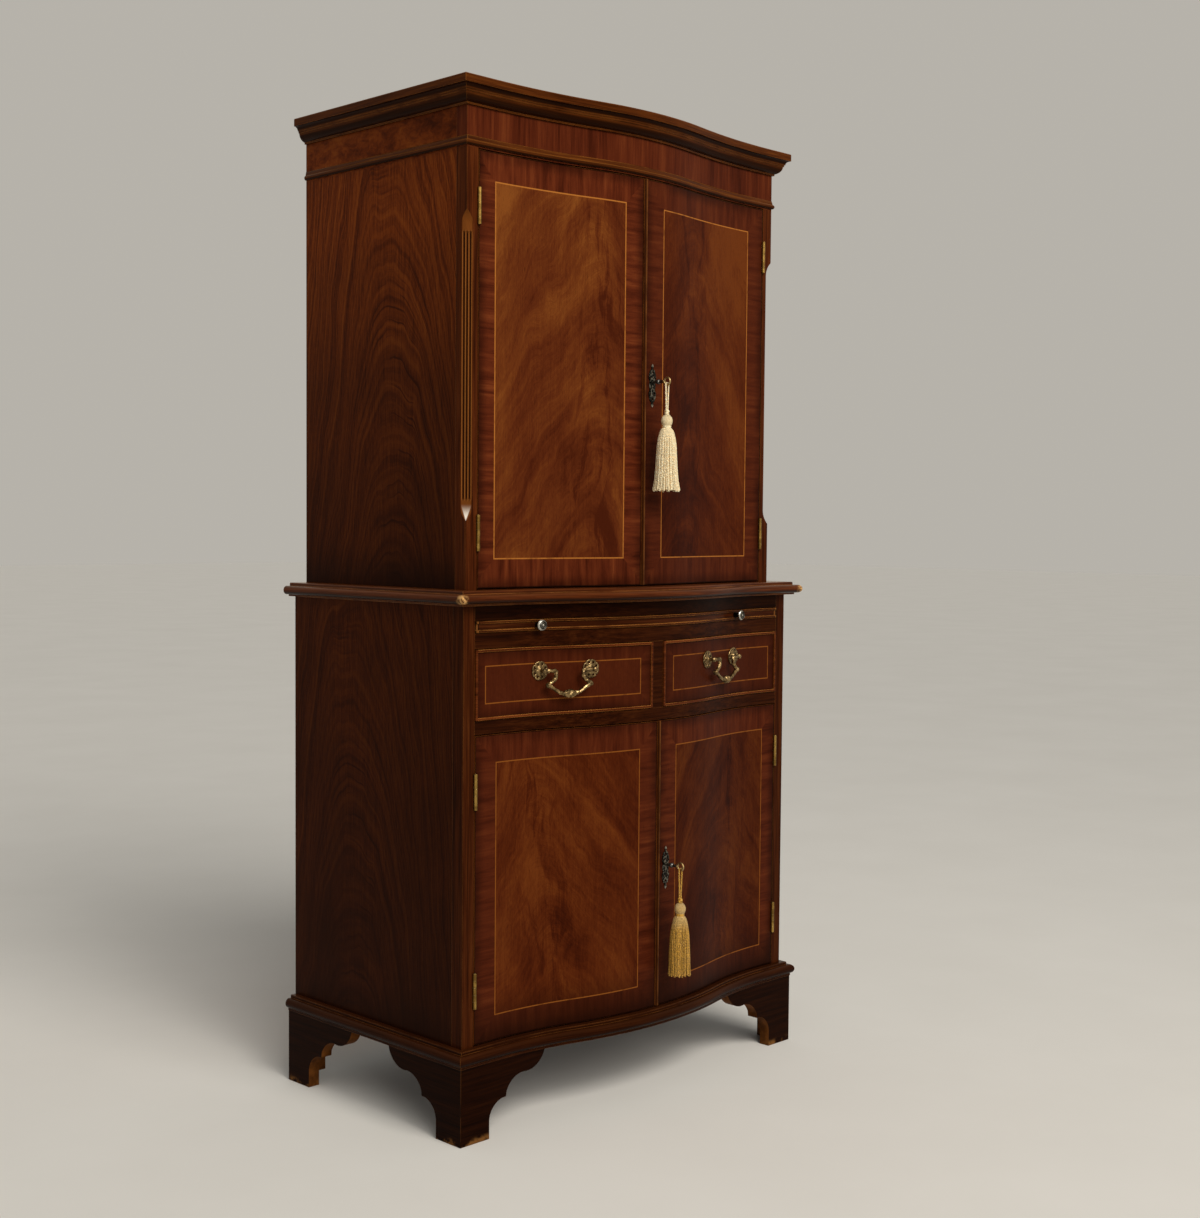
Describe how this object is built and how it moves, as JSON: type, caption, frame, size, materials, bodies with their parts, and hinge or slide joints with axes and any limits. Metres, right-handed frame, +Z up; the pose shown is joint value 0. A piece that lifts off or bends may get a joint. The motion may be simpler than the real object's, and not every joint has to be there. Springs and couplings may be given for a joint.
{
  "type": "bar cabinet",
  "caption": "Serpentine-fronted mahogany drinks cabinet: one cupboard over another, with drawers, a brushing slide, bracket feet, brass bail handles and tasselled keys",
  "frame": {"origin": "on the floor, midway between the cabinet's rear plane and the front tips of its keys, on the middle plane", "axes": "+X to the right across the front, +Y from the front to the back, +Z up"},
  "size_m": [0.7976, 0.5193, 1.58],
  "materials": {
    "flame_mahogany": "flame-figured mahogany veneer and mouldings, French polished to a soft gloss, worn on the arrises",
    "pale_drawer_wood": "plain light hardwood, waxed",
    "plywood_back": "stained plywood, matt",
    "aged_brass": "cast and pressed brass, polished high spots and darkened hollows",
    "clear_glass": "clear float glass with ground edges",
    "cream_silk": "cream rayon yarn, soft sheen",
    "gold_silk": "old-gold rayon yarn, soft sheen"
  },
  "bodies": {
    "carcass": {"upper_left_side": "flame_mahogany", "upper_right_side": "flame_mahogany", "lower_left_side": "flame_mahogany", "lower_right_side": "flame_mahogany", "upper_posts": "flame_mahogany", "lower_stiles": "flame_mahogany", "upper_bottom_board": "flame_mahogany", "lower_bottom_board": "flame_mahogany", "ceiling_board": "flame_mahogany", "frieze_rail": "flame_mahogany", "top_board": "flame_mahogany", "carcass_top_board": "flame_mahogany", "slide_bed": "flame_mahogany", "dust_board": "flame_mahogany", "drawer_partition": "flame_mahogany", "upper_back": "plywood_back", "lower_back": "plywood_back", "glass_shelf": "clear_glass", "lower_shelf": "flame_mahogany", "shelf_pins": "aged_brass", "cornice": "flame_mahogany", "frieze_bead": "flame_mahogany", "waist_board": "flame_mahogany", "base_frame": "flame_mahogany", "front_feet": "flame_mahogany", "rear_feet": "flame_mahogany", "post_hinges": "aged_brass"},
    "upper_left_door_body": {"upper_left_door": "flame_mahogany", "upper_left_door_hinges": "aged_brass"},
    "upper_right_door_body": {"upper_right_door": "flame_mahogany", "upper_right_door_hinges": "aged_brass", "upper_lock_case": "aged_brass", "upper_escutcheon": "aged_brass"},
    "upper_key_body": {"upper_key": "aged_brass"},
    "upper_bolt_body": {"upper_lock_bolt": "aged_brass"},
    "upper_tassel_body": {"upper_tassel": "cream_silk", "upper_tassel_cord": "cream_silk"},
    "lower_left_door_body": {"lower_left_door": "flame_mahogany", "lower_left_door_hinges": "aged_brass"},
    "lower_right_door_body": {"lower_right_door": "flame_mahogany", "lower_right_door_hinges": "aged_brass", "lower_lock_case": "aged_brass", "lower_escutcheon": "aged_brass"},
    "lower_key_body": {"lower_key": "aged_brass"},
    "lower_bolt_body": {"lower_lock_bolt": "aged_brass"},
    "lower_tassel_body": {"lower_tassel": "gold_silk", "lower_tassel_cord": "gold_silk"},
    "left_drawer_body": {"left_drawer_front": "flame_mahogany", "left_drawer_cock_bead": "flame_mahogany", "left_drawer_box": "pale_drawer_wood", "left_handle_roses": "aged_brass"},
    "left_bail_body": {"left_bail": "aged_brass"},
    "right_drawer_body": {"right_drawer_front": "flame_mahogany", "right_drawer_cock_bead": "flame_mahogany", "right_drawer_box": "pale_drawer_wood", "right_handle_roses": "aged_brass"},
    "right_bail_body": {"right_bail": "aged_brass"},
    "brushing_slide_body": {"slide_board": "pale_drawer_wood", "slide_front": "flame_mahogany", "slide_knobs": "aged_brass"}
  },
  "joints": [
    {"name": "upper_left_door_hinge", "type": "hinge", "parent": "carcass", "child": "upper_left_door_body", "pos_m": [-0.3305, -0.15, 1.1546], "axis": [0, 0, -1], "range_deg": [0, 110]},
    {"name": "upper_right_door_hinge", "type": "hinge", "parent": "carcass", "child": "upper_right_door_body", "pos_m": [0.3305, -0.15, 1.1546], "axis": [0, 0, 1], "range_deg": [0, 110]},
    {"name": "upper_key_turn", "type": "hinge", "parent": "upper_right_door_body", "child": "upper_key_body", "pos_m": [0.0135, -0.1813, 1.157], "axis": [0, 1, 0], "range_deg": [0, 90]},
    {"name": "upper_bolt_throw", "type": "slide", "parent": "upper_right_door_body", "child": "upper_bolt_body", "axis": [-1, 0, 0], "range_m": [0, 0.006]},
    {"name": "upper_tassel_swing", "type": "hinge", "parent": "upper_key_body", "child": "upper_tassel_body", "pos_m": [0.0135, -0.2148, 1.151], "axis": [0, 1, 0], "range_deg": [-75, 75]},
    {"name": "lower_left_door_hinge", "type": "hinge", "parent": "carcass", "child": "lower_left_door_body", "pos_m": [-0.3527, -0.1722, 0.3769], "axis": [0, 0, -1], "range_deg": [0, 110]},
    {"name": "lower_right_door_hinge", "type": "hinge", "parent": "carcass", "child": "lower_right_door_body", "pos_m": [0.3527, -0.1722, 0.3769], "axis": [0, 0, 1], "range_deg": [0, 110]},
    {"name": "lower_key_turn", "type": "hinge", "parent": "lower_right_door_body", "child": "lower_key_body", "pos_m": [0.0225, -0.213, 0.374], "axis": [0, 1, 0], "range_deg": [0, 90]},
    {"name": "lower_bolt_throw", "type": "slide", "parent": "lower_right_door_body", "child": "lower_bolt_body", "axis": [-1, 0, 0], "range_m": [0, 0.006]},
    {"name": "lower_tassel_swing", "type": "hinge", "parent": "lower_key_body", "child": "lower_tassel_body", "pos_m": [0.0225, -0.2465, 0.368], "axis": [0, 1, 0], "range_deg": [-75, 75]},
    {"name": "left_drawer_slide", "type": "slide", "parent": "carcass", "child": "left_drawer_body", "axis": [0, -1, 0], "range_m": [0, 0.25]},
    {"name": "left_bail_swing", "type": "hinge", "parent": "left_drawer_body", "child": "left_bail_body", "pos_m": [-0.18555, -0.19998, 0.702], "axis": [-0.9749, 0.2228, 0], "range_deg": [0, 80]},
    {"name": "right_drawer_slide", "type": "slide", "parent": "carcass", "child": "right_drawer_body", "axis": [0, -1, 0], "range_m": [0, 0.25]},
    {"name": "right_bail_swing", "type": "hinge", "parent": "right_drawer_body", "child": "right_bail_body", "pos_m": [0.18555, -0.19998, 0.702], "axis": [-0.9749, -0.2228, 0], "range_deg": [0, 80]},
    {"name": "brushing_slide_pull", "type": "slide", "parent": "carcass", "child": "brushing_slide_body", "axis": [0, -1, 0], "range_m": [0, 0.2]}
  ],
  "couplings": [
    {"joint": "upper_bolt_throw", "follows": "upper_key_turn", "m_per_rad": 0.0038197},
    {"joint": "lower_bolt_throw", "follows": "lower_key_turn", "m_per_rad": 0.0038197}
  ]
}
